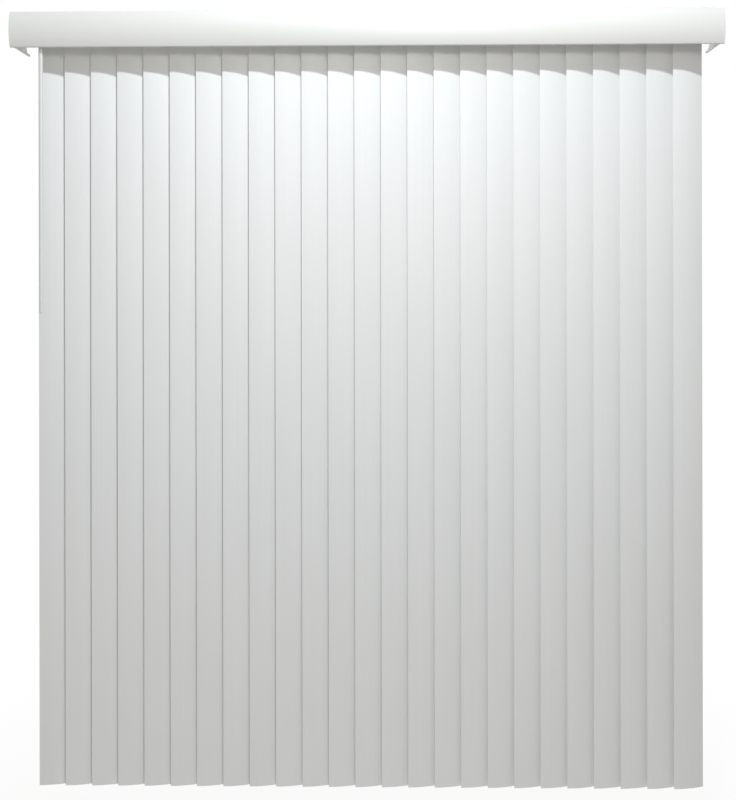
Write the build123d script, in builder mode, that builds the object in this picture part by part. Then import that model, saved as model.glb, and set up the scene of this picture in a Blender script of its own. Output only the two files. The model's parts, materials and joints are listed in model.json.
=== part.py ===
from build123d import *
import os
from math import asin, cos, degrees, radians, sin, sqrt

# A wall-hung vertical blind, closed, with its vanes drawn across the whole rail.
# X runs along the rail to the right, Y runs back to the wall, Z is up.
# The origin lies on the wall, midway between the two screw holes of the centre bracket.

os.makedirs("parts", exist_ok=True)

# Vanes
vane_count = 25
vane_pitch = 76.2
vane_width = 89.0
vane_length = 2152.0
vane_thickness = 0.7
vane_camber = 4.0
closed_angle = 11.5
vane_below_arm = 1.0
slot_width = 13.0
slot_height = 4.4
slot_below_top = 9.0

# Where the rail and the vanes stand
stem_to_wall = 64.0
rail_below_screws = 8.0
rail_before_first_stem = 95.0
rail_past_last_stem = 72.2

# Headrail
rail_width = 44.0
rail_height = 40.0
rail_wall = 1.4
rail_slot = 16.0
rib_out = 1.5
rib_thickness = 1.4

# End caps
cap_plate = 2.5
cap_plug = 8.0
cap_plug_wall = 2.0
cap_plug_clearance = 0.1
cap_lip = 1.0

# Tilt rod, a cross-shaped bar
rod_arm = 6.0
rod_web = 2.2
rod_offset = 9.0
rod_above_rail_bottom = 17.0
rod_clearance = 0.3

# Carriers
stack_pitch = 18.0
stack_clearance = 0.4
glide_clearance = 0.3
base_thickness = 3.3
base_width = 39.0
frame_width = 29.0
frame_height = 31.3
frame_wall = 1.6
glide_bevel = 1.2
master_reach = 26.0

# Spacer links between the carriers
link_levels = 5
link_step = 1.2
link_thickness = 0.5
link_width = 7.0
link_head_width = 12.0
link_head_length = 3.0
link_tip_past = 3.5
link_window_clearance = 0.45
link_first_height = 25.0

# Pins and bearings are eight-sided, but for the screw holes and the wand
pin_sides = 8

# Stems that hold the vanes
stem_radius = 2.5
stem_clearance = 0.08
stem_head_radius = 4.8
stem_head_height = 4.0
stem_seat_gap = 0.3
stem_block_height = 3.0
stem_block_above_vane = 1.0
prong_width = 7.0
prong_thickness = 1.0
prong_gap = 0.35
prong_below_slot = 5.0
tooth_height = 2.6

# Wand, its shaft and the arm of the leading carrier that holds them
wand_left_of_stem = 24.5
wand_front_of_stem = 46.0
arm_width = 12.0
arm_thickness = 9.0
arm_below_rail = 2.0
shaft_radius = 2.5
shaft_head_radius = 4.5
shaft_head_height = 3.0
eye_drop = 5.0
eye_thickness = 3.0
eye_radius = 3.5
eye_neck_width = 4.0
eye_to_wand = 1.5
pin_radius = 1.6
pin_clearance = 0.08
ear_thickness = 1.6
ear_clearance = 0.3
ear_root = 1.0
wand_radius = 5.75
wand_length = 775.0
wand_neck_radius = 4.2
wand_shoulder = 5.0
wand_tip_radius = 5.1
wand_tip_length = 31.0
wand_tip_bevel = 2.0

# Valance
valance_past_rail = 12.0
valance_height = 101.6
valance_below_screws = 48.0
valance_depth = 140.0
valance_crown = 10.0
valance_wall = 2.4
valance_lip = 6.0
valance_lip_drop = 5.0
valance_edge_round = 2.0
return_wall_gap = 1.5

# Clips that carry the valance on the rail
clip_count = 4
clip_from_rail_end = 248.0
clip_width = 22.0
clip_thickness = 1.6
clip_play = 0.15
clip_base = 24.0
hook_thickness = 1.6
hook_clearance = 0.15

# Wall brackets
bracket_from_rail_end = 158.0
bracket_width = 38.0
bracket_thickness = 2.0
bracket_plate_below = 18.0
screw_radius = 2.5
screw_spacing = 20.0
rear_catch_drop = 5.0

# Lengths, heights and depths that follow from the sizes above
rail_length = rail_before_first_stem + (vane_count - 1) * vane_pitch + rail_past_last_stem
valance_length = rail_length + 2 * valance_past_rail
stem_y = -stem_to_wall
rail_z = -rail_below_screws
rail_top = rail_z + rail_height
ledge_top = rail_z + rail_wall
arm_top = rail_z - arm_below_rail
arm_bottom = arm_top - arm_thickness
vane_top = arm_bottom - vane_below_arm
vane_bottom = vane_top - vane_length
rod_y = stem_y + rod_offset
rod_z = rail_z + rod_above_rail_bottom
rod_reach = sqrt((rod_arm / 2) ** 2 + (rod_web / 2) ** 2)
carrier_length = stack_pitch - stack_clearance
frame_bottom = ledge_top + glide_clearance
frame_top = frame_bottom + frame_height
base_top = frame_bottom + base_thickness
slot_z = vane_top - slot_below_top
first_stem_x = rail_before_first_stem - rail_length / 2
stem_xs = [first_stem_x + i * vane_pitch for i in range(vane_count)]
wand_x = first_stem_x - wand_left_of_stem
wand_y = stem_y - wand_front_of_stem


def axis_plane(x, z, angle=0.0):
    """Level plane on a stem's axis, its X turned by the angle about Z."""
    turned = Vector(cos(radians(angle)), sin(radians(angle)), 0)
    return Plane(origin=(x, stem_y, z), x_dir=turned, z_dir=(0, 0, 1))


def upright_plane(x, z, angle=0.0):
    """Plane through a stem's axis that faces the front, its X turned by the angle."""
    turned = Vector(cos(radians(angle)), sin(radians(angle)), 0)
    return Plane(origin=(x, stem_y, z), x_dir=turned, z_dir=turned.cross(Vector(0, 0, 1)))


def section_plane(x, y=0.0, z=0.0):
    """Plane across the rail: its X is the depth and its Y is the height."""
    return Plane(origin=(x, y, z), x_dir=(0, 1, 0), z_dir=(1, 0, 0))


def save(part, name):
    part.label = name
    export_step(part, f"parts/{name}.step")


# Headrail: an open-bottomed channel with two ledges and two outer ribs along its top
rail_section = section_plane(-rail_length / 2, stem_y, rail_z)
with BuildPart() as headrail:
    with BuildSketch(rail_section):
        with Locations((0, rail_height / 2)):
            Rectangle(rail_width, rail_height)
        with Locations((0, rail_height - rib_thickness / 2)):
            Rectangle(rail_width + 2 * rib_out, rib_thickness)
        with Locations((0, rail_height / 2)):
            Rectangle(rail_width - 2 * rail_wall, rail_height - 2 * rail_wall, mode=Mode.SUBTRACT)
        with Locations((0, rail_wall / 2)):
            Rectangle(rail_slot, rail_wall, mode=Mode.SUBTRACT)
    extrude(amount=rail_length)
save(headrail.part, "headrail")


# End caps: a plate over each end of the rail, with a plug inside it and a bearing for the rod
rod_hole_radius = rod_reach + rod_clearance
plug_width = rail_width - 2 * rail_wall - 2 * cap_plug_clearance
plug_height = rail_height - 2 * rail_wall - 2 * cap_plug_clearance


def rod_hole(radius):
    """Eight-sided outline around the tilt rod, in a sketch across the rail."""
    RegularPolygon(radius, pin_sides, major_radius=False, rotation=180 / pin_sides)


with BuildPart() as end_caps:
    for side in (-1, 1):
        rail_end = section_plane(side * rail_length / 2, stem_y, rail_z)
        with BuildSketch(rail_end):
            with Locations((0, rail_height / 2)):
                Rectangle(rail_width + 2 * cap_lip, rail_height)
        extrude(amount=side * cap_plate)
        with BuildSketch(rail_end):
            with Locations((0, rail_height / 2)):
                Rectangle(plug_width, plug_height)
                Rectangle(
                    plug_width - 2 * cap_plug_wall,
                    plug_height - 2 * cap_plug_wall,
                    mode=Mode.SUBTRACT,
                )
            with Locations((rod_offset, rod_above_rail_bottom)):
                rod_hole(rod_hole_radius + cap_plug_wall)
        extrude(amount=-side * cap_plug)
        with BuildSketch(rail_end):
            with Locations((rod_offset, rod_above_rail_bottom)):
                rod_hole(rod_hole_radius)
        extrude(amount=-side * cap_plug, mode=Mode.SUBTRACT)
save(end_caps.part, "end_caps")


# Tilt rod: a cross-shaped bar that every stem's gear is driven by, held in the two caps
rod_length = rail_length - 2 * rod_clearance
with BuildPart() as tilt_rod:
    with BuildSketch(section_plane(-rod_length / 2, rod_y, rod_z)):
        Rectangle(rod_arm, rod_web)
        Rectangle(rod_web, rod_arm)
    extrude(amount=rod_length)
save(tilt_rod.part, "tilt_rod")


# Carriers: a glide base on the ledges, an open frame for the rod, the stem and the links
link_top = link_first_height + (link_levels - 1) * link_step + link_thickness
window_height = link_top - link_first_height + 2 * link_window_clearance
window_middle = rail_z + (link_first_height + link_top) / 2
window_width = link_width + 2 * link_window_clearance


def carrier(index):
    """Frame of one carrier, the first one with its gear housing and the arm for the wand."""
    x = stem_xs[index]
    half = carrier_length / 2
    with BuildPart() as frame:
        # glide base with bevelled ends
        with BuildSketch(Plane.XZ.offset(-(stem_y + base_width / 2))):
            with Locations((x, frame_bottom + base_thickness / 2)):
                Rectangle(carrier_length, base_thickness)
        extrude(amount=base_width)
        chamfer(frame.edges().filter_by(Axis.Y).group_by(Axis.Z)[0], glide_bevel)
        # ring-shaped frame
        with BuildSketch(Plane.XZ.offset(-(stem_y + frame_width / 2))):
            with Locations((x, (frame_bottom + frame_top) / 2 + base_thickness / 2)):
                Rectangle(carrier_length, frame_height - base_thickness)
            with Locations((x, (base_top + frame_top - frame_wall) / 2)):
                Rectangle(
                    carrier_length - 2 * frame_wall,
                    frame_top - frame_wall - base_top,
                    mode=Mode.SUBTRACT,
                )
        extrude(amount=frame_width)
        if index == 0:
            # gear housing beside the frame, and the arm that comes out through the rail's slot
            reach = master_reach - half
            with Locations((x - half - reach / 2, stem_y, (frame_bottom + frame_top) / 2)):
                Box(reach, frame_width, frame_height)
            with BuildSketch(Plane.XY.offset(arm_bottom)):
                with BuildLine():
                    left = (wand_x - arm_width / 2, wand_y)
                    right = (wand_x + arm_width / 2, wand_y)
                    ThreePointArc(left, (wand_x, wand_y - arm_width / 2), right)
                    Line(right, (right[0], stem_y + arm_width / 2))
                    Line((right[0], stem_y + arm_width / 2), (left[0], stem_y + arm_width / 2))
                    Line((left[0], stem_y + arm_width / 2), left)
                make_face()
            extrude(amount=arm_thickness)
            with BuildSketch(Plane.XY.offset(arm_top)):
                with Locations((x - master_reach + arm_width / 2, stem_y)):
                    Rectangle(arm_width, arm_width)
            extrude(amount=frame_bottom - arm_top)
            with BuildSketch(Plane.XY.offset(arm_top)):
                with Locations((wand_x, wand_y)):
                    RegularPolygon(shaft_radius + stem_clearance, pin_sides, major_radius=False)
            extrude(amount=-arm_thickness, mode=Mode.SUBTRACT)
        # hole for the rod and window for the links, both along the rail
        with BuildSketch(section_plane(x - master_reach, rod_y, rod_z)):
            rod_hole(rod_hole_radius)
        extrude(amount=master_reach + half, mode=Mode.SUBTRACT)
        with BuildSketch(section_plane(x - half, stem_y, window_middle)):
            Rectangle(window_width, window_height)
        extrude(amount=carrier_length, mode=Mode.SUBTRACT)
        # hole for the stem
        with BuildSketch(axis_plane(x, frame_bottom)):
            RegularPolygon(stem_radius + stem_clearance, pin_sides, major_radius=False)
        extrude(amount=base_thickness, mode=Mode.SUBTRACT)
    return frame.part


def spacer_link(index):
    """Flat strip that keeps the next carrier one pitch away. Its height steps, so that strips nest."""
    x = stem_xs[index]
    head_x = x + carrier_length / 2 - frame_wall - link_head_length
    level = rail_z + link_first_height + (index % link_levels) * link_step
    with BuildPart() as link:
        with BuildSketch(axis_plane(head_x, level)):
            Rectangle(link_head_length, link_head_width, align=(Align.MIN, Align.CENTER))
            tip = x + vane_pitch + link_tip_past - head_x
            Rectangle(tip, link_width, align=(Align.MIN, Align.CENTER))
        extrude(amount=link_thickness)
    return link.part


for index in range(vane_count):
    pieces = [carrier(index)]
    if index < vane_count - 1:
        pieces.append(spacer_link(index))
    save(Compound(children=pieces), f"carrier_{index + 1:02d}")


# Vanes: a thin sheet with a round camber, punched at its top, hung on the prongs of a stem
camber_radius = (vane_width**2 / 4 + vane_camber**2) / (2 * vane_camber)
camber_half_angle = degrees(asin(vane_width / 2 / camber_radius))
slot_top = slot_z + slot_height / 2
stem_head_bottom = base_top + stem_seat_gap


def sheet(x):
    """One vane, its hollow side to the wall and its left edge forward."""
    with BuildPart() as vane:
        with BuildSketch(axis_plane(x, vane_bottom, closed_angle)):
            with BuildLine():
                start = -90 - camber_half_angle
                sweep_angle = 2 * camber_half_angle
                middle = (0, camber_radius)
                front = CenterArc(middle, camber_radius + vane_thickness / 2, start, sweep_angle)
                back = CenterArc(middle, camber_radius - vane_thickness / 2, start, sweep_angle)
                Line(front @ 0, back @ 0)
                Line(front @ 1, back @ 1)
            make_face()
        extrude(amount=vane_length)
        with BuildSketch(upright_plane(x, slot_z, closed_angle)):
            Rectangle(slot_width, slot_height)
        extrude(amount=vane_thickness, both=True, mode=Mode.SUBTRACT)
    return vane.part


def stem(x):
    """Turning stem of one vane: a head in the carrier, a neck, and two prongs with a tooth."""
    prong_bottom = slot_z - prong_below_slot
    block_bottom = vane_top + stem_block_above_vane
    block_top = block_bottom + stem_block_height
    gap = vane_thickness / 2 + prong_gap
    with BuildPart() as hanger:
        with BuildSketch(axis_plane(x, stem_head_bottom)):
            RegularPolygon(stem_head_radius, pin_sides)
        extrude(amount=stem_head_height)
        with BuildSketch(axis_plane(x, block_top)):
            RegularPolygon(stem_radius, pin_sides)
        extrude(amount=stem_head_bottom - block_top)
        with BuildSketch(axis_plane(x, prong_bottom, closed_angle)):
            with Locations((0, gap + prong_thickness / 2), (0, -gap - prong_thickness / 2)):
                Rectangle(prong_width, prong_thickness)
        extrude(amount=block_top - prong_bottom)
        with BuildSketch(axis_plane(x, block_bottom, closed_angle)):
            Rectangle(prong_width, 2 * (gap + prong_thickness))
        extrude(amount=stem_block_height)
        with BuildSketch(axis_plane(x, slot_top - tooth_height, closed_angle)):
            with Locations((0, -gap / 2)):
                Rectangle(prong_width, 3 * gap)
        extrude(amount=tooth_height)
    return hanger.part


for index, x in enumerate(stem_xs):
    save(Compound(children=[sheet(x), stem(x)]), f"vane_{index + 1:02d}")


# Wand shaft: a pin in the arm of the leading carrier, with an eye for the wand under it
eye_z = arm_bottom - eye_drop
shaft_bottom = eye_z + eye_radius
head_bottom = arm_top + glide_clearance
with BuildPart() as wand_shaft:
    with BuildSketch(Plane.XY.offset(head_bottom)):
        with Locations((wand_x, wand_y)):
            RegularPolygon(shaft_head_radius, pin_sides)
    extrude(amount=shaft_head_height)
    with BuildSketch(Plane.XY.offset(shaft_bottom)):
        with Locations((wand_x, wand_y)):
            RegularPolygon(shaft_radius, pin_sides)
    extrude(amount=head_bottom - shaft_bottom)
    with BuildSketch(section_plane(wand_x - eye_thickness / 2, wand_y, eye_z)):
        RegularPolygon(eye_radius, pin_sides, rotation=180 / pin_sides)
        Rectangle(eye_neck_width, eye_radius, align=(Align.CENTER, Align.MIN))
        RegularPolygon(pin_radius + pin_clearance, pin_sides, major_radius=False, mode=Mode.SUBTRACT)
    extrude(amount=eye_thickness)
save(wand_shaft.part, "wand_shaft")


# Wand: a rod with a forked head pinned through the eye, and a bevelled grip end
ear_inner = eye_thickness / 2 + ear_clearance
ear_width = 2 * eye_radius * cos(radians(180 / pin_sides))
neck_top = eye_z - eye_radius - eye_to_wand
wand_foot = neck_top - wand_length
with BuildPart() as wand:
    with BuildSketch(Plane.XZ.offset(-wand_y)):
        with BuildLine():
            Polyline(
                (wand_x, neck_top),
                (wand_x + wand_neck_radius, neck_top),
                (wand_x + wand_radius, neck_top - wand_shoulder),
                (wand_x + wand_radius, wand_foot + wand_tip_length),
                (wand_x + wand_tip_radius, wand_foot + wand_tip_length),
                (wand_x + wand_tip_radius, wand_foot + wand_tip_bevel),
                (wand_x + wand_tip_radius - wand_tip_bevel, wand_foot),
                (wand_x, wand_foot),
                close=True,
            )
        make_face()
    revolve(axis=Axis((wand_x, wand_y, 0), (0, 0, 1)))
    for side in (-1, 1):
        with BuildSketch(section_plane(wand_x + side * ear_inner, wand_y, eye_z)):
            RegularPolygon(eye_radius, pin_sides, rotation=180 / pin_sides)
            Rectangle(ear_width, eye_z - neck_top + ear_root, align=(Align.CENTER, Align.MAX))
        extrude(amount=side * ear_thickness)
    with BuildSketch(section_plane(wand_x - ear_inner, wand_y, eye_z)):
        RegularPolygon(pin_radius, pin_sides)
    extrude(amount=2 * ear_inner)
save(wand.part, "wand")


# Valance: a crowned board with hooked lips along its back, and a return of the same section
# at each end, joined to it by a mitre
half_height = valance_height / 2
inner_half = half_height - valance_wall
valance_middle = half_height - valance_below_screws
crown_radius = (half_height**2 + valance_crown**2) / (2 * valance_crown)
inner_edge = crown_radius - sqrt((crown_radius - valance_wall) ** 2 - inner_half**2)
lip_back = valance_crown + valance_lip
lip_front = lip_back - valance_wall
valance_front = -valance_depth


def valance_section(plane):
    """The hooked C section of the valance. The plane's X runs inwards from the front of the crown."""
    with BuildSketch(plane) as section:
        with BuildLine():
            ThreePointArc((valance_crown, -half_height), (0, 0), (valance_crown, half_height))
            Polyline(
                (valance_crown, half_height),
                (lip_back, half_height),
                (lip_back, half_height - valance_lip_drop),
                (lip_front, half_height - valance_lip_drop),
                (lip_front, inner_half),
                (inner_edge, inner_half),
            )
            ThreePointArc((inner_edge, inner_half), (valance_wall, 0), (inner_edge, -inner_half))
            Polyline(
                (inner_edge, -inner_half),
                (lip_front, -inner_half),
                (lip_front, -half_height + valance_lip_drop),
                (lip_back, -half_height + valance_lip_drop),
                (lip_back, -half_height),
                (valance_crown, -half_height),
            )
        make_face()
        outer_corners = section.vertices().filter_by_position(
            Axis.X, valance_crown - valance_wall / 10, valance_crown + valance_wall / 10
        )
        fillet(outer_corners, valance_edge_round)
    return section.sketch


def mitre(side):
    """Upright plane at 45 degrees through a front corner of the valance, facing the return."""
    corner = (side * valance_length / 2, valance_front, 0)
    return Plane(origin=corner, x_dir=(0, 0, 1), z_dir=(side, 1, 0))


with BuildPart() as valance_face:
    left_end = Plane(
        origin=(-valance_length / 2, valance_front, valance_middle), x_dir=(0, 1, 0), z_dir=(1, 0, 0)
    )
    extrude(valance_section(left_end), amount=valance_length, dir=(1, 0, 0))
    split(bisect_by=mitre(-1), keep=Keep.BOTTOM)
    split(bisect_by=mitre(1), keep=Keep.BOTTOM)
save(valance_face.part, "valance_face")

for side, name in ((-1, "left"), (1, "right")):
    with BuildPart() as valance_return:
        wall_end = Plane(
            origin=(side * valance_length / 2, -return_wall_gap, valance_middle),
            x_dir=(-side, 0, 0),
            z_dir=(0, side, 0),
        )
        extrude(valance_section(wall_end), amount=valance_depth - return_wall_gap, dir=(0, -1, 0))
        split(bisect_by=mitre(side), keep=Keep.TOP)
    save(valance_return.part, f"valance_return_{name}")


# Clips: each hooks over the front rib of the rail and spans the back of the valance
rail_front = stem_y - rail_width / 2
rail_back = stem_y + rail_width / 2
rib_under = rail_top - rib_thickness - hook_clearance
rib_front = rail_front - rib_out - hook_clearance
rib_back = rail_back + rib_out + hook_clearance
plate_back = valance_front + lip_front - clip_play
outer_clip_x = rail_length / 2 - clip_from_rail_end
with BuildPart() as valance_clips:
    for place in range(clip_count):
        clip_x = (2 * place / (clip_count - 1) - 1) * outer_clip_x
        with BuildSketch(section_plane(clip_x - clip_width / 2)):
            with BuildLine():
                Polyline(
                    (plate_back - clip_thickness, rail_top + clip_thickness),
                    (rail_front + clip_base, rail_top + clip_thickness),
                    (rail_front + clip_base, rail_top),
                    (rib_front, rail_top),
                    (rib_front, rib_under),
                    (rail_front - hook_clearance, rib_under),
                    (rail_front - hook_clearance, rib_under - hook_thickness),
                    (rib_front - hook_thickness, rib_under - hook_thickness),
                    (rib_front - hook_thickness, rail_top),
                    (plate_back - clip_thickness, rail_top),
                    close=True,
                )
            make_face()
            with Locations((plate_back - clip_thickness / 2, valance_middle)):
                Rectangle(clip_thickness, 2 * (inner_half - clip_play))
        extrude(amount=clip_width)
save(valance_clips.part, "valance_clips")


# Wall brackets: a plate on the wall with two screw holes, and an arm that grips the rail's ribs
outer_bracket_x = rail_length / 2 - bracket_from_rail_end
with BuildPart() as wall_brackets:
    for bracket_x in (-outer_bracket_x, 0, outer_bracket_x):
        with BuildSketch(section_plane(bracket_x - bracket_width / 2)):
            with BuildLine():
                Polyline(
                    (0, rail_top + bracket_thickness),
                    (rib_front - bracket_thickness, rail_top + bracket_thickness),
                    (rib_front - bracket_thickness, rib_under - bracket_thickness),
                    (rail_front - hook_clearance, rib_under - bracket_thickness),
                    (rail_front - hook_clearance, rib_under),
                    (rib_front, rib_under),
                    (rib_front, rail_top),
                    (rib_back, rail_top),
                    (rib_back, rail_top - rear_catch_drop),
                    (rib_back + bracket_thickness, rail_top - rear_catch_drop),
                    (rib_back + bracket_thickness, rail_top),
                    (-bracket_thickness, rail_top),
                    (-bracket_thickness, -bracket_plate_below),
                    (0, -bracket_plate_below),
                    close=True,
                )
            make_face()
        extrude(amount=bracket_width)
        with BuildSketch(Plane.XZ):
            with Locations((bracket_x - screw_spacing / 2, 0), (bracket_x + screw_spacing / 2, 0)):
                Circle(screw_radius)
        extrude(amount=2 * bracket_thickness, both=True, mode=Mode.SUBTRACT)
save(wall_brackets.part, "wall_brackets")
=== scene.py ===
import json
from math import asin, pi, radians

import bmesh
import bpy
from mathutils import Matrix, Vector


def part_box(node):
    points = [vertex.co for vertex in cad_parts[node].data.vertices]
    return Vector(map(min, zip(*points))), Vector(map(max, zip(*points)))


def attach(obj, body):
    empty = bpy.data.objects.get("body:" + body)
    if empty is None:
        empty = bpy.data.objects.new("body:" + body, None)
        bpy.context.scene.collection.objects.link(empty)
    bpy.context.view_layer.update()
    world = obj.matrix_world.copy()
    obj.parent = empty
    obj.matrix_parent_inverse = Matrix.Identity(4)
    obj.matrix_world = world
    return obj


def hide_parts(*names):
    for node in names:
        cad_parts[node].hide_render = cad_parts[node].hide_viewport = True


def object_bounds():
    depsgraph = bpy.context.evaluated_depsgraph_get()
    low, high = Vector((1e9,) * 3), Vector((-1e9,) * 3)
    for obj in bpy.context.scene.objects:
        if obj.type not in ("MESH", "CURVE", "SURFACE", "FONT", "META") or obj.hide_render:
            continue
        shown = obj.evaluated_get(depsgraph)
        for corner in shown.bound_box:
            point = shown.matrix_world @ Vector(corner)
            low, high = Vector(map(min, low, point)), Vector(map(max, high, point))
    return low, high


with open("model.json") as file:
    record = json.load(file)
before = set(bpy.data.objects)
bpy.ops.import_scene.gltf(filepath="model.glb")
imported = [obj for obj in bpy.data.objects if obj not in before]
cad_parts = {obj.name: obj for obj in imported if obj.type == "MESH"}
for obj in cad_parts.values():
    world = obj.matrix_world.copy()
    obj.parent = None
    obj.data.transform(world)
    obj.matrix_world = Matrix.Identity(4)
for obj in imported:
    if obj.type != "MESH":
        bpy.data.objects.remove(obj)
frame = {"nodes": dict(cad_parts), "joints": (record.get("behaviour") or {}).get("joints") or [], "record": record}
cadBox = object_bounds()
record = frame["record"]
nodeBody = {node: body for body, nodes in record["behaviour"]["bodies"].items() for node in nodes}
joints = {joint["name"]: joint for joint in frame["joints"]}
print("frame loaded:", len(frame["nodes"]), "nodes")


# Shader values as Python expressions
class Value:
    def __init__(self, finish, socket):
        self.finish = finish
        self.socket = socket

    def maths(self, operation, first, second):
        return self.finish.node("ShaderNodeMath", {"operation": operation}, {0: first, 1: second})

    def __add__(self, other):
        return self.maths("ADD", self, other)

    __radd__ = __add__

    def __mul__(self, other):
        return self.maths("MULTIPLY", self, other)

    __rmul__ = __mul__

    def __sub__(self, other):
        return self.maths("SUBTRACT", self, other)

    def __rsub__(self, other):
        return self.maths("SUBTRACT", other, self)


# Node tree of a material or of the world
class Finish:
    def __init__(self, owner):
        owner.use_nodes = True
        self.owner = owner
        self.tree = owner.node_tree
        self.tree.nodes.clear()

    # Any node: its type, then its settings, then values or links for its sockets
    def node(self, kind, settings, sockets, output=0):
        made = self.tree.nodes.new(kind)
        for name, setting in settings.items():
            setattr(made, name, setting)
        for name, value in sockets.items():
            if isinstance(value, Value):
                self.tree.links.new(value.socket, made.inputs[name])
            else:
                made.inputs[name].default_value = value
        return Value(self, made.outputs[output])

    def place(self):
        return self.node("ShaderNodeTexCoord", {}, {}, "Object")

    def stretched(self, scale):
        return self.node("ShaderNodeVectorMath", {"operation": "MULTIPLY"}, {0: self.place(), 1: scale})

    # Noise stretched by a scale for each axis
    def grain(self, scale, detail=2.0, roughness=0.5):
        return self.node("ShaderNodeTexNoise", {},
                         {"Vector": self.stretched(scale), "Scale": 1.0, "Detail": detail,
                          "Roughness": roughness}, "Fac")

    def band(self, value, low, high, toLow=0.0, toHigh=1.0):
        return self.node("ShaderNodeMapRange", {"interpolation_type": "SMOOTHSTEP"},
                         {"Value": value, "From Min": low, "From Max": high,
                          "To Min": toLow, "To Max": toHigh})

    # The two colours of a look, mixed by a factor
    def tone(self, factor, look):
        return self.node("ShaderNodeMix", {"data_type": "RGBA"},
                         {"Factor": factor, 6: (*look["colourLow"], 1.0),
                          7: (*look["colourHigh"], 1.0)}, 2)

    def bump(self, height, strength, distance):
        return self.node("ShaderNodeBump", {},
                         {"Strength": strength, "Distance": distance, "Height": height})

    # One for a ray of any of these kinds, zero for all others
    def seenBy(self, rays):
        first, *others = [self.node("ShaderNodeLightPath", {}, {}, ray) for ray in rays]
        for other in others:
            first = first.maths("MAXIMUM", first, other)
        return first

    def close(self, surface, kind="ShaderNodeOutputMaterial"):
        output = self.tree.nodes.new(kind)
        self.tree.links.new(surface.socket, output.inputs["Surface"])
        return self.owner

    def closePrincipled(self, colour, roughness, normal, constants):
        sockets = {"Base Color": colour, "Roughness": roughness, "Normal": normal}
        sockets.update(constants)
        return self.close(self.node("ShaderNodeBsdfPrincipled", {}, sockets))


# Extruded vinyl: faint die lines along one axis, a slow tone drift and a satin face
vinylGrain = {
    "lineDetail": 3.0,
    "lineRoughness": 0.6,
    "speckScale": 900.0,
    "speckRoughness": 0.6,
    "lineInTone": 0.6,
    "driftInTone": 0.4,
    "toneLow": 0.30,
    "toneHigh": 0.70,
    "lineInRoughness": 0.10,
    "speckInRoughness": 0.06,
    "speckInHeight": 0.35,
    "bumpDistance": 0.0002,
    "coatRoughness": 0.25,
    "ior": 1.5,
}


def extrudedVinyl(name, look, grain):
    finish = Finish(bpy.data.materials.new(name))
    dieLines = finish.grain(look["lineScale"], grain["lineDetail"], grain["lineRoughness"])
    drift = finish.grain(look["driftScale"])
    speck = finish.grain((grain["speckScale"],) * 3, roughness=grain["speckRoughness"])
    shade = finish.band(dieLines * grain["lineInTone"] + drift * grain["driftInTone"],
                        grain["toneLow"], grain["toneHigh"])
    roughness = (look["roughness"] + (dieLines - 0.5) * grain["lineInRoughness"]
                 + (speck - 0.5) * grain["speckInRoughness"])
    normal = finish.bump(dieLines + speck * grain["speckInHeight"], look["bump"], grain["bumpDistance"])
    return finish.closePrincipled(finish.tone(shade, look), roughness, normal,
                                  {"IOR": grain["ior"], "Coat Weight": look["coat"],
                                   "Coat Roughness": grain["coatRoughness"]})


# Injection moulded plastic: a fine spark texture with soft flow marks
mouldGrain = {
    "sparkScale": 2600.0,
    "sparkRoughness": 0.7,
    "flowScale": (45.0, 70.0, 60.0),
    "flowDetail": 3.0,
    "toneLow": 0.32,
    "toneHigh": 0.68,
    "sparkInRoughness": 0.18,
    "flowInRoughness": 0.08,
    "flowInHeight": 0.5,
    "bumpDistance": 0.00015,
    "ior": 1.49,
}


def mouldedPlastic(name, look, grain):
    finish = Finish(bpy.data.materials.new(name))
    spark = finish.grain((grain["sparkScale"],) * 3, roughness=grain["sparkRoughness"])
    flow = finish.grain(grain["flowScale"], grain["flowDetail"])
    shade = finish.band(flow, grain["toneLow"], grain["toneHigh"])
    roughness = (look["roughness"] + (spark - 0.5) * grain["sparkInRoughness"]
                 + (flow - 0.5) * grain["flowInRoughness"])
    normal = finish.bump(spark + flow * grain["flowInHeight"], look["bump"], grain["bumpDistance"])
    return finish.closePrincipled(finish.tone(shade, look), roughness, normal, {"IOR": grain["ior"]})


# Powder coat over aluminium: orange peel, with a slow drift in the tone
coatGrain = {
    "peelScale": 620.0,
    "peelRoughness": 0.45,
    "driftScale": (5.0, 30.0, 30.0),
    "toneLow": 0.3,
    "toneHigh": 0.7,
    "peelInRoughness": 0.12,
    "bumpDistance": 0.0003,
    "ior": 1.5,
}


def powderCoat(name, look, grain):
    finish = Finish(bpy.data.materials.new(name))
    peel = finish.grain((grain["peelScale"],) * 3, roughness=grain["peelRoughness"])
    shade = finish.band(finish.grain(grain["driftScale"]), grain["toneLow"], grain["toneHigh"])
    roughness = look["roughness"] + (peel - 0.5) * grain["peelInRoughness"]
    normal = finish.bump(peel, look["bump"], grain["bumpDistance"])
    return finish.closePrincipled(finish.tone(shade, look), roughness, normal, {"IOR": grain["ior"]})


# Drawn aluminium: bright, with die lines along the bar
barGrain = {
    "lineScale": (6.0, 1800.0, 1800.0),
    "lineDetail": 3.0,
    "lineRoughness": 0.6,
    "lineInRoughness": 0.25,
    "bumpDistance": 0.0002,
}


def drawnMetal(name, look, grain):
    finish = Finish(bpy.data.materials.new(name))
    dieLines = finish.grain(grain["lineScale"], grain["lineDetail"], grain["lineRoughness"])
    roughness = look["roughness"] + (dieLines - 0.5) * grain["lineInRoughness"]
    normal = finish.bump(dieLines, look["bump"], grain["bumpDistance"])
    return finish.closePrincipled(finish.tone(dieLines, look), roughness, normal, {"Metallic": 1.0})


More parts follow.
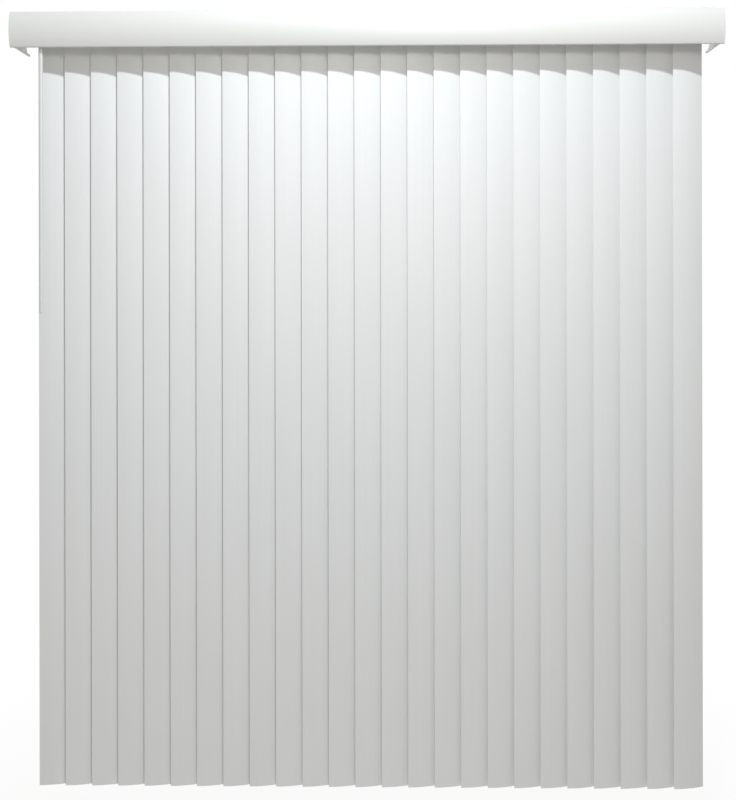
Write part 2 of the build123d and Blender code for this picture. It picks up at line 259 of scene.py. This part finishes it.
# Zinc plate: crystal spangle over pressed steel
zincGrain = {
    "spangleScale": 260.0,
    "scratchScale": (60.0, 1500.0, 900.0),
    "scratchDetail": 3.0,
    "scratchRoughness": 0.6,
    "spangleInTone": 0.7,
    "scratchInTone": 0.3,
    "spangleInRoughness": 0.12,
    "scratchInRoughness": 0.10,
    "bumpDistance": 0.0002,
}


def zincPlate(name, look, grain):
    finish = Finish(bpy.data.materials.new(name))
    spangle = finish.node("ShaderNodeTexVoronoi", {},
                          {"Vector": finish.stretched((grain["spangleScale"],) * 3), "Scale": 1.0},
                          "Color")
    level = finish.node("ShaderNodeSeparateColor", {}, {"Color": spangle}, "Red")
    scratch = finish.grain(grain["scratchScale"], grain["scratchDetail"], grain["scratchRoughness"])
    shade = level * grain["spangleInTone"] + scratch * grain["scratchInTone"]
    roughness = (look["roughness"] + (level - 0.5) * grain["spangleInRoughness"]
                 + (scratch - 0.5) * grain["scratchInRoughness"])
    normal = finish.bump(scratch, look["bump"], grain["bumpDistance"])
    return finish.closePrincipled(finish.tone(shade, look), roughness, normal, {"Metallic": 1.0})


finishes = {
    "vane_white": extrudedVinyl("vaneVinyl", {
        "colourLow": (0.775, 0.785, 0.785), "colourHigh": (0.810, 0.818, 0.818),
        "lineScale": (700.0, 700.0, 1.2), "driftScale": (14.0, 14.0, 1.5),
        "roughness": 0.46, "bump": 0.10, "coat": 0.0}, vinylGrain),
    "valance_white": extrudedVinyl("valanceVinyl", {
        "colourLow": (0.722, 0.722, 0.702), "colourHigh": (0.748, 0.748, 0.730),
        "lineScale": (1.0, 600.0, 600.0), "driftScale": (1.5, 16.0, 16.0),
        "roughness": 0.42, "bump": 0.10, "coat": 0.05}, vinylGrain),
    "wand_white": extrudedVinyl("wandPlastic", {
        "colourLow": (0.700, 0.705, 0.700), "colourHigh": (0.740, 0.745, 0.740),
        "lineScale": (1400.0, 1400.0, 2.0), "driftScale": (60.0, 60.0, 3.0),
        "roughness": 0.28, "bump": 0.08, "coat": 0.25}, vinylGrain),
    "rail_white": powderCoat("railCoat", {
        "colourLow": (0.765, 0.765, 0.745), "colourHigh": (0.795, 0.795, 0.780),
        "roughness": 0.38, "bump": 0.25}, coatGrain),
    "carrier_plastic": mouldedPlastic("carrierAcetal", {
        "colourLow": (0.70, 0.70, 0.67), "colourHigh": (0.76, 0.76, 0.735),
        "roughness": 0.42, "bump": 0.30}, mouldGrain),
    "fitting_white": mouldedPlastic("fittingPlastic", {
        "colourLow": (0.74, 0.74, 0.72), "colourHigh": (0.79, 0.79, 0.775),
        "roughness": 0.36, "bump": 0.25}, mouldGrain),
    "clip_clear": mouldedPlastic("clipPlastic", {
        "colourLow": (0.60, 0.63, 0.64), "colourHigh": (0.68, 0.705, 0.71),
        "roughness": 0.22, "bump": 0.18}, mouldGrain),
    "rod_metal": drawnMetal("rodAluminium", {
        "colourLow": (0.58, 0.59, 0.60), "colourHigh": (0.78, 0.79, 0.80),
        "roughness": 0.32, "bump": 0.20}, barGrain),
    "bracket_steel": zincPlate("bracketZinc", {
        "colourLow": (0.50, 0.51, 0.53), "colourHigh": (0.74, 0.75, 0.76),
        "roughness": 0.34, "bump": 0.15}, zincGrain),
}
slotOf = {row["node"]: row["material_slot"] for row in record["subparts"]}
for node, thing in frame["nodes"].items():
    thing.data.materials.clear()
    thing.data.materials.append(finishes[slotOf[node]])
print("finishes:", len(finishes))

smoothAngle = radians(32)
samePlace = 1e-6  # places closer than this are one place
cutReach = 1e-7   # how near a cut snaps to a corner


# Turns a bmesh into a piece that rides on the body of the node it stands for
def piece(mesh, name, node, slot):
    data = bpy.data.meshes.new(name)
    bmesh.ops.recalc_face_normals(mesh, faces=mesh.faces)
    mesh.to_mesh(data)
    mesh.free()
    for polygon in data.polygons:
        polygon.use_smooth = True
    data.set_sharp_from_angle(angle=smoothAngle)
    data.materials.append(finishes[slot])
    made = bpy.data.objects.new(name, data)
    bpy.context.scene.collection.objects.link(made)
    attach(made, nodeBody[node])
    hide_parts(node)


def cutAcross(mesh, point, normal):
    bmesh.ops.bisect_plane(mesh, geom=mesh.verts[:] + mesh.edges[:] + mesh.faces[:], dist=cutReach,
                           plane_co=point, plane_no=normal)


# Radius and half angle of the arc with this half chord and this rise
def arc(halfChord, rise):
    radius = (halfChord ** 2 + rise ** 2) / (2 * rise)
    return radius, asin(halfChord / radius)


# Vanes: a flat strip is punched, cut into narrow strips, bent to the camber and given its thickness
vaneSizes = {
    "length": 2.152,
    "width": 0.089,
    "thickness": 0.0007,
    "camber": 0.004,
    "closedAngle": radians(11.5),
    "slotWidth": 0.013,
    "slotHeight": 0.0044,
    "slotBelowTop": 0.009,
    "slotSides": 24,
    "strips": 36,
    "cutShares": (0.012, 0.25, 0.5, 0.75),
}


def vaneSheet(sizes):
    radius, halfAngle = arc(sizes["width"] / 2, sizes["camber"])
    flatHalf = radius * halfAngle
    mesh = bmesh.new()
    grid = bmesh.ops.create_grid(mesh, x_segments=1, y_segments=1, size=1.0)
    for corner in grid["verts"]:
        corner.co = Vector((corner.co.x * flatHalf, 0.0, (corner.co.y - 1) / 2 * sizes["length"]))
    bmesh.ops.delete(mesh, geom=mesh.faces[:], context="FACES_ONLY")
    slotRadius = sizes["slotHeight"] / 2
    spread = sizes["slotWidth"] / 2 - slotRadius
    slotRing = bmesh.ops.create_circle(mesh, cap_ends=False, segments=sizes["slotSides"],
                                       radius=slotRadius,
                                       matrix=Matrix.Rotation(pi / sizes["slotSides"], 4, "Z"))
    for corner in slotRing["verts"]:
        along = corner.co.x + (spread if corner.co.x > 0 else -spread)
        corner.co = Vector((along, 0.0, corner.co.y - sizes["slotBelowTop"]))
    bmesh.ops.triangle_fill(mesh, edges=mesh.edges[:], use_dissolve=False, use_beauty=True,
                            normal=(0.0, -1.0, 0.0))
    inside = [face for face in mesh.faces
              if abs(face.calc_center_median().x) < sizes["slotWidth"] / 2
              and abs(face.calc_center_median().z + sizes["slotBelowTop"]) < slotRadius
              and all(abs(corner.co.z + sizes["slotBelowTop"]) <= slotRadius + samePlace
                      for corner in face.verts)]
    bmesh.ops.delete(mesh, geom=inside, context="FACES_ONLY")
    for strip in range(1, sizes["strips"]):
        cutAcross(mesh, ((2 * strip / sizes["strips"] - 1) * flatHalf, 0, 0), (1, 0, 0))
    for share in sizes["cutShares"]:
        cutAcross(mesh, (0, 0, -share * sizes["length"]), (0, 0, 1))
    front = radius + sizes["thickness"] / 2
    for corner in mesh.verts:
        turn = Matrix.Rotation(corner.co.x / radius, 3, "Z")
        corner.co = turn @ Vector((0, -front, corner.co.z)) + Vector((0, radius, 0))
    bmesh.ops.recalc_face_normals(mesh, faces=mesh.faces)
    if sum(face.normal.y for face in mesh.faces) > 0:
        bmesh.ops.reverse_faces(mesh, faces=mesh.faces)
    bmesh.ops.solidify(mesh, geom=mesh.faces[:], thickness=sizes["thickness"])
    bmesh.ops.rotate(mesh, verts=mesh.verts, cent=(0, 0, 0),
                     matrix=Matrix.Rotation(sizes["closedAngle"], 3, "Z"))
    return mesh


# Stems: a toothed head in the carrier, a round neck, and two prongs with a tooth in the slot
stemSizes = {
    "headRadius": 0.0048,
    "headHeight": 0.004,
    "teeth": 14,
    "toothDepth": 0.0005,
    "toothRise": 0.00045,
    "neckRadius": 0.0025,
    "neckIntoHead": 0.0005,
    "neckSides": 32,
    "prongWidth": 0.007,
    "prongThickness": 0.001,
    "prongGap": 0.00035,
    "prongBelowSlot": 0.005,
    "blockHeight": 0.003,
    "blockAboveVane": 0.001,
    "catchWidth": 0.0066,
    "catchHeight": 0.0026,
    "catchRound": 0.00021,
    "edgeRound": 0.0003,
}


def block(mesh, low, high, edgeRound):
    made = bmesh.ops.create_cube(mesh, size=1.0)
    bmesh.ops.scale(mesh, vec=high - low, verts=made["verts"])
    bmesh.ops.translate(mesh, vec=(low + high) / 2, verts=made["verts"])
    edges = list({edge for corner in made["verts"] for edge in corner.link_edges})
    bmesh.ops.bevel(mesh, geom=edges, offset=edgeRound, affect="EDGES", segments=2, profile=0.5,
                    material=-1)


# Upright round or many-sided bar from one height to another
def bar(mesh, radius, low, high, sides):
    made = bmesh.ops.create_cone(mesh, cap_ends=True, segments=sides, radius1=radius, radius2=radius,
                                 depth=high - low, matrix=Matrix.Translation((0, 0, (low + high) / 2)))
    return made["verts"]


def stem(sizes, vane, headTop, vaneTop):
    mesh = bmesh.new()
    slotTop = vaneTop - vane["slotBelowTop"] + vane["slotHeight"] / 2
    neckBottom = vaneTop + sizes["blockAboveVane"]
    blockTop = neckBottom + sizes["blockHeight"]
    prongBottom = vaneTop - vane["slotBelowTop"] - sizes["prongBelowSlot"]
    gap = vane["thickness"] / 2 + sizes["prongGap"]
    halfWidth = sizes["prongWidth"] / 2
    halfDepth = gap + sizes["prongThickness"]
    halfCatch = Vector((sizes["catchWidth"] / 2, gap + sizes["edgeRound"], 0))
    for near, far in ((-halfDepth, -gap), (gap, halfDepth)):
        block(mesh, Vector((-halfWidth, near, prongBottom)), Vector((halfWidth, far, blockTop)),
              sizes["edgeRound"])
    block(mesh, Vector((-halfWidth, -halfDepth, neckBottom)), Vector((halfWidth, halfDepth, blockTop)),
          sizes["edgeRound"])
    block(mesh, Vector((0, 0, slotTop - sizes["catchHeight"])) - halfCatch,
          Vector((0, 0, slotTop)) + halfCatch, sizes["catchRound"])
    bmesh.ops.rotate(mesh, verts=mesh.verts, cent=(0, 0, 0),
                     matrix=Matrix.Rotation(vane["closedAngle"], 3, "Z"))
    headBottom = headTop - sizes["headHeight"]
    bar(mesh, sizes["neckRadius"], neckBottom, headBottom + sizes["neckIntoHead"], sizes["neckSides"])
    head = bar(mesh, sizes["headRadius"] - sizes["toothDepth"], headBottom, headTop, 2 * sizes["teeth"])
    sides = [face for face in {face for corner in head for face in corner.link_faces}
             if abs(face.normal.z) < 0.5]
    sides.sort(key=lambda face: Vector((1, 0)).angle_signed(face.calc_center_median().xy))
    teeth = bmesh.ops.extrude_discrete_faces(mesh, faces=sides[::2])["faces"]
    for tooth in teeth:
        outward = tooth.calc_center_median().to_2d().normalized() * sizes["toothRise"]
        bmesh.ops.translate(mesh, vec=outward.to_3d(), verts=tooth.verts)
    return mesh


vaneNodes = sorted(node for node in frame["nodes"] if node.startswith("vane_"))
for node in vaneNodes:
    number = node[-2:]
    axis = Vector(joints["tilt_" + number]["pos_m"])
    low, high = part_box(node)
    vaneTop = low.z + vaneSizes["length"]
    sheet = vaneSheet(vaneSizes)
    bmesh.ops.translate(sheet, vec=(axis.x, axis.y, vaneTop), verts=sheet.verts)
    piece(sheet, "vaneSheet." + number, node, "vane_white")
    hanger = stem(stemSizes, vaneSizes, high.z, vaneTop)
    bmesh.ops.translate(hanger, vec=(axis.x, axis.y, 0), verts=hanger.verts)
    piece(hanger, "vaneStem." + number, node, "vane_white")
print("vanes and stems:", len(vaneNodes))


# Valance: a crowned face with hooked lips, drawn from one open outline that is given its wall
valanceSizes = {
    "crown": 0.010,
    "wall": 0.0024,
    "lip": 0.006,
    "lipDrop": 0.005,
    "edgeRound": 0.002,
    "edgeSteps": 5,
    "crownSteps": 40,
}
faceLow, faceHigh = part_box("valance_face")


# Outer outline of the valance at one place along the rail, from one hook to the other
def valanceOutline(mesh, sizes, along):
    half = (faceHigh.z - faceLow.z) / 2
    middle = (faceHigh.z + faceLow.z) / 2
    front = faceLow.y
    edge = front + sizes["crown"]
    radius, halfAngle = arc(half, sizes["crown"])
    start = mesh.verts.new((along, edge, middle - half))
    bmesh.ops.spin(mesh, geom=[start], cent=(along, front + radius, middle), axis=(-1, 0, 0),
                   angle=2 * halfAngle, steps=sizes["crownSteps"], use_duplicate=False)
    for end in [corner for corner in mesh.verts if len(corner.link_edges) == 1]:
        up = 1 if end.co.z > middle else -1
        end.co = Vector((along, edge, middle + up * half))
        back = mesh.verts.new((along, edge + sizes["lip"], middle + up * half))
        mesh.edges.new((end, back))
        hook = mesh.verts.new((along, edge + sizes["lip"], middle + up * (half - sizes["lipDrop"])))
        mesh.edges.new((back, hook))
    return [corner for corner in mesh.verts if abs(corner.co.y - edge) < samePlace]


def valanceShell(sizes, fromX, toX):
    mesh = bmesh.new()
    corners = valanceOutline(mesh, sizes, fromX)
    bmesh.ops.bevel(mesh, geom=corners, offset=sizes["edgeRound"], affect="VERTICES",
                    segments=sizes["edgeSteps"], profile=0.5, material=-1)
    drawn = bmesh.ops.extrude_edge_only(mesh, edges=mesh.edges[:])["geom"]
    bmesh.ops.translate(mesh, vec=(toX - fromX, 0, 0),
                        verts=[item for item in drawn if isinstance(item, bmesh.types.BMVert)])
    bmesh.ops.recalc_face_normals(mesh, faces=mesh.faces)
    frontFace = min(mesh.faces, key=lambda face: face.calc_center_median().y)
    if frontFace.normal.y > 0:
        bmesh.ops.reverse_faces(mesh, faces=mesh.faces)
    bmesh.ops.solidify(mesh, geom=mesh.faces[:], thickness=sizes["wall"])
    return mesh


piece(valanceShell(valanceSizes, faceLow.x, faceHigh.x), "valanceFace", "valance_face", "valance_white")
print("valance face")


# Camera at the photograph's place: level, with the lens shifted down
cameraSizes = {
    "place": (0.0588, -3.1591, -0.7104),
    "turnLeft": 0.0171,
    "roll": -0.0016,
    "sensorWidth": 36.0,
    "focalPixels": 1072.7,
    "horizonPixels": 279.9,
    "imageHeight": 800,
}


def setCamera(sizes):
    data = bpy.data.cameras.new("camera")
    data.sensor_width = sizes["sensorWidth"]
    data.lens = sizes["focalPixels"] / sizes["imageHeight"] * data.sensor_width
    data.shift_y = (sizes["horizonPixels"] - sizes["imageHeight"] / 2) / sizes["imageHeight"]
    camera = bpy.data.objects.new("camera", data)
    camera.matrix_world = (Matrix.Translation(sizes["place"])
                           @ Matrix.Rotation(sizes["turnLeft"], 4, "Z")
                           @ Matrix.Rotation(pi / 2, 4, "X")
                           @ Matrix.Rotation(sizes["roll"], 4, "Z"))
    bpy.context.scene.collection.objects.link(camera)
    bpy.context.scene.camera = camera


setCamera(cameraSizes)


# Lamps: one soft key above the front, a wide fill, and one behind so that the back can be read
lamps = {
    "keyLamp": {
        "place": (0.22, -1.90, 1.72), "aim": (0.07, -0.064, -2.0),
        "width": 0.12, "power": 61.2, "colour": (0.925, 0.985, 1.035)},
    "fillLamp": {
        "place": (0.28, -1.64, 0.20), "aim": (0.08, -0.064, -2.0),
        "width": 0.50, "power": 8.3, "colour": (1.0, 0.99, 0.96)},
    "backLamp": {
        "place": (-1.50, 2.60, 0.90), "aim": (0.0, 0.0, -1.1),
        "width": 0.90, "power": 36.0, "colour": (1.0, 0.99, 0.97)},
}


def areaLamp(name, values):
    data = bpy.data.lights.new(name, "AREA")
    data.shape = "DISK"
    data.size = values["width"]
    data.energy = values["power"]
    data.color = values["colour"]
    lamp = bpy.data.objects.new(name, data)
    lamp.location = values["place"]
    aim = Vector(values["aim"]) - Vector(values["place"])
    lamp.rotation_euler = aim.to_track_quat("-Z", "Y").to_euler()
    bpy.context.scene.collection.objects.link(lamp)


for name, values in lamps.items():
    areaLamp(name, values)


# The sky is white to the camera and in reflections, and a plain fill to everything else
skyValues = {"strength": 0.385, "colour": (1.0, 0.972, 0.930)}
plainWhite = (1.0, 1.0, 1.0, 1.0)


def setSky(values):
    sky = Finish(bpy.data.worlds.new("sky"))
    seen = sky.seenBy(["Is Camera Ray", "Is Glossy Ray", "Is Transmission Ray"])
    fill = sky.node("ShaderNodeBackground", {},
                    {"Color": (*values["colour"], 1.0), "Strength": values["strength"]})
    white = sky.node("ShaderNodeBackground", {}, {"Color": plainWhite, "Strength": 1.0})
    mixed = sky.node("ShaderNodeMixShader", {}, {0: seen, 1: fill, 2: white})
    bpy.context.scene.world = sky.close(mixed, "ShaderNodeOutputWorld")


setSky(skyValues)


# Floor below the blind: near white to the camera, plainly white far off, and it keeps the shadow
floorValues = {
    "below": 0.26,
    "size": 14.0,
    "colour": (0.74, 0.72, 0.69),
    "white": 0.92,
    "near": 0.8,
    "far": 2.2,
}


def setFloor(values):
    mesh = bmesh.new()
    bmesh.ops.create_grid(mesh, x_segments=1, y_segments=1, size=values["size"] / 2)
    bmesh.ops.translate(mesh, vec=(0, 0, cadBox[0].z - values["below"]), verts=mesh.verts)
    data = bpy.data.meshes.new("floor")
    mesh.to_mesh(data)
    mesh.free()
    floor = bpy.data.objects.new("floor", data)
    bpy.context.scene.collection.objects.link(floor)
    finish = Finish(bpy.data.materials.new("floorPaint"))
    diffuse = finish.node("ShaderNodeBsdfDiffuse", {}, {"Color": (*values["colour"], 1.0)})
    white = finish.node("ShaderNodeEmission", {}, {"Color": plainWhite, "Strength": 1.0})
    seen = finish.seenBy(["Is Camera Ray", "Is Glossy Ray"])
    reach = finish.node("ShaderNodeVectorMath", {"operation": "LENGTH"},
                        {0: finish.stretched((1.0, 1.0, 0.0))}, "Value")
    share = finish.band(reach, values["near"], values["far"], values["white"], 1.0)
    mixed = finish.node("ShaderNodeMixShader", {}, {0: seen * share, 1: diffuse, 2: white})
    data.materials.append(finish.close(mixed))


setFloor(floorValues)
bpy.context.scene.view_settings.view_transform = "Standard"
print("camera, light and floor")
